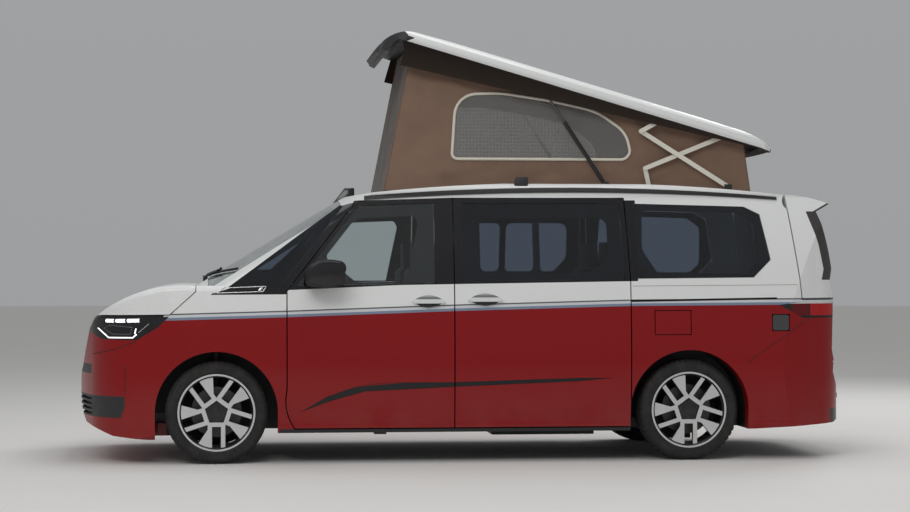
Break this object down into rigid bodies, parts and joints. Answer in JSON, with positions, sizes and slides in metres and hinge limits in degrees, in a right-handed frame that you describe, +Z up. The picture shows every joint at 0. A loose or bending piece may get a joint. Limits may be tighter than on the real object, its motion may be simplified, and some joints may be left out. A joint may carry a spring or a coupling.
{
  "type": "camper van",
  "caption": "Two-tone camper van with its pop-up roof raised over a canvas bed room; doors, tailgate, bonnet, roof and wheels move.",
  "frame": {"origin": "centre of the footprint on the road: half way along, on the centre line, at road height", "axes": "+X to the tail, +Y to the vehicle's right side, +Z up"},
  "size_m": [5.173, 2.252, 2.8532],
  "materials": {
    "paint_red": "gloss",
    "paint_white": "gloss",
    "paint_cream": "satin",
    "black_plastic": "satin",
    "glass_clear": "clear",
    "glass_dark": "tinted",
    "lamp_clear": "gloss",
    "lamp_red": "gloss",
    "paint_black": "satin",
    "bright_steel": "polished",
    "cast_metal": "cast",
    "canvas": "woven",
    "seat_fabric": "woven",
    "cabinet": "satin",
    "alloy": "machined",
    "tyre_rubber": "matte"
  },
  "bodies": {
    "body": {"bulkhead": "black_plastic", "dashboard": "black_plastic", "engine_block": "cast_metal", "floor_pan": "black_plastic", "front_bumper": "paint_red", "front_seats": "seat_fabric", "front_subframe": "paint_black", "front_suspension": "paint_black", "front_wings": "paint_red", "fuel_tank": "black_plastic", "grille": "black_plastic", "headlamps": "lamp_clear", "kitchen_unit": "cabinet", "rear_axle": "paint_black", "rear_bumper": "paint_red", "rear_quarters": "paint_red", "rear_seats": "seat_fabric", "roof_brackets": "black_plastic", "roof_panel": "paint_white", "roof_rails": "black_plastic", "side_glass": "glass_dark", "sliding_doors": "paint_red", "steering_wheel": "black_plastic", "tail_lamps": "lamp_red", "tent": "canvas", "wheel_liners": "black_plastic", "windscreen": "glass_clear", "windscreen_frame": "paint_white"},
    "bonnet": {"bonnet": "paint_white"},
    "front_door_left": {"front_door_left": "paint_red", "door_glass_left": "glass_clear", "mirror_left": "black_plastic"},
    "front_door_right": {"front_door_right": "paint_red", "door_glass_right": "glass_clear", "mirror_right": "black_plastic"},
    "tailgate": {"tailgate": "paint_red", "tailgate_glass": "glass_dark"},
    "fuel_flap": {"fuel_flap": "paint_red"},
    "inlet_flap": {"inlet_flap": "paint_red"},
    "pop_roof": {"pop_roof_shell": "paint_white"},
    "fold_arm_lower": {"fold_arms_lower": "paint_cream"},
    "fold_arm_upper": {"fold_arms_upper": "paint_cream"},
    "fold_link_upper": {"fold_links_upper": "paint_cream"},
    "fold_link_lower": {"fold_links_lower": "paint_cream"},
    "strut_barrel": {"strut_barrels": "paint_black"},
    "strut_rod": {"strut_rods": "bright_steel"},
    "knuckle_left": {"knuckle_left": "cast_metal"},
    "knuckle_right": {"knuckle_right": "cast_metal"},
    "wheel_front_left": {"rim_front_left": "alloy", "tyre_front_left": "tyre_rubber"},
    "wheel_front_right": {"rim_front_right": "alloy", "tyre_front_right": "tyre_rubber"},
    "wheel_rear_left": {"rim_rear_left": "alloy", "tyre_rear_left": "tyre_rubber"},
    "wheel_rear_right": {"rim_rear_right": "alloy", "tyre_rear_right": "tyre_rubber"}
  },
  "joints": [
    {"name": "bonnet_hinge", "type": "hinge", "parent": "body", "child": "bonnet", "pos_m": [-1.8, 0, 1.162], "axis": [0, 1, 0], "range_deg": [0, 50]},
    {"name": "front_door_left_hinge", "type": "hinge", "parent": "body", "child": "front_door_left", "pos_m": [-1.193, -0.962, 0.7], "axis": [0, 0, -1], "range_deg": [0, 68]},
    {"name": "front_door_right_hinge", "type": "hinge", "parent": "body", "child": "front_door_right", "pos_m": [-1.193, 0.962, 0.7], "axis": [0, 0, 1], "range_deg": [0, 68]},
    {"name": "tailgate_hinge", "type": "hinge", "parent": "body", "child": "tailgate", "pos_m": [2.188, 0, 1.726], "axis": [0, -1, 0], "range_deg": [0, 85]},
    {"name": "fuel_flap_hinge", "type": "hinge", "parent": "body", "child": "fuel_flap", "pos_m": [1.234, -0.957, 0.914], "axis": [0, 0, -1], "range_deg": [0, 100]},
    {"name": "inlet_flap_hinge", "type": "hinge", "parent": "body", "child": "inlet_flap", "pos_m": [2.028, -0.957, 0.912], "axis": [0, 0, -1], "range_deg": [0, 100]},
    {"name": "pop_roof_hinge", "type": "hinge", "parent": "body", "child": "pop_roof", "pos_m": [3.18767, 0, 1.66457], "axis": [0, -1, 0], "range_deg": [0, 12.5], "deforming": ["tent"]},
    {"name": "fold_arm_lower_hinge", "type": "hinge", "parent": "body", "child": "fold_arm_lower", "pos_m": [1.776, 0, 1.828], "axis": [0, -1, 0], "range_deg": [0, 27.86]},
    {"name": "fold_arm_upper_hinge", "type": "hinge", "parent": "pop_roof", "child": "fold_arm_upper", "pos_m": [1.775, 0, 2.178], "axis": [0, 1, 0], "range_deg": [0, 35.58]},
    {"name": "fold_link_upper_hinge", "type": "hinge", "parent": "fold_arm_lower", "child": "fold_link_upper", "pos_m": [1.179, 0, 2.199], "axis": [0, 1, 0], "range_deg": [0, 59.62]},
    {"name": "fold_link_lower_hinge", "type": "hinge", "parent": "fold_arm_upper", "child": "fold_link_lower", "pos_m": [1.213, 0, 1.95], "axis": [0, -1, 0], "range_deg": [0, 83.6]},
    {"name": "strut_barrel_hinge", "type": "hinge", "parent": "body", "child": "strut_barrel", "pos_m": [0.932, 0, 1.841], "axis": [0, -1, 0], "range_deg": [0, 48.17]},
    {"name": "strut_rod_slide", "type": "slide", "parent": "strut_barrel", "child": "strut_rod", "axis": [0.5508, 0, -0.8346], "range_m": [0, 0.24311]},
    {"name": "steer_left_hinge", "type": "hinge", "parent": "body", "child": "knuckle_left", "pos_m": [-1.6685, -0.67, 0.334], "axis": [0, 0, 1], "range_deg": [-35, 35]},
    {"name": "steer_right_hinge", "type": "hinge", "parent": "body", "child": "knuckle_right", "pos_m": [-1.6685, 0.67, 0.334], "axis": [0, 0, 1], "range_deg": [-35, 35]},
    {"name": "wheel_front_left_spin", "type": "hinge", "parent": "knuckle_left", "child": "wheel_front_left", "pos_m": [-1.6685, -0.828, 0.334], "axis": [0, 1, 0], "continuous": true},
    {"name": "wheel_front_right_spin", "type": "hinge", "parent": "knuckle_right", "child": "wheel_front_right", "pos_m": [-1.6685, 0.828, 0.334], "axis": [0, 1, 0], "continuous": true},
    {"name": "wheel_rear_left_spin", "type": "hinge", "parent": "body", "child": "wheel_rear_left", "pos_m": [1.4555, -0.828, 0.334], "axis": [0, 1, 0], "continuous": true},
    {"name": "wheel_rear_right_spin", "type": "hinge", "parent": "body", "child": "wheel_rear_right", "pos_m": [1.4555, 0.828, 0.334], "axis": [0, 1, 0], "continuous": true}
  ],
  "couplings": [
    {"joint": "fold_arm_lower_hinge", "follows": "pop_roof_hinge", "ratio": 2.2287},
    {"joint": "fold_arm_upper_hinge", "follows": "pop_roof_hinge", "ratio": 2.8466},
    {"joint": "fold_link_upper_hinge", "follows": "pop_roof_hinge", "ratio": 4.7695},
    {"joint": "fold_link_lower_hinge", "follows": "pop_roof_hinge", "ratio": 6.6883},
    {"joint": "strut_barrel_hinge", "follows": "pop_roof_hinge", "ratio": 3.8537},
    {"joint": "strut_rod_slide", "follows": "pop_roof_hinge", "m_per_rad": 1.1143},
    {"joint": "steer_right_hinge", "follows": "steer_left_hinge", "ratio": 1}
  ]
}
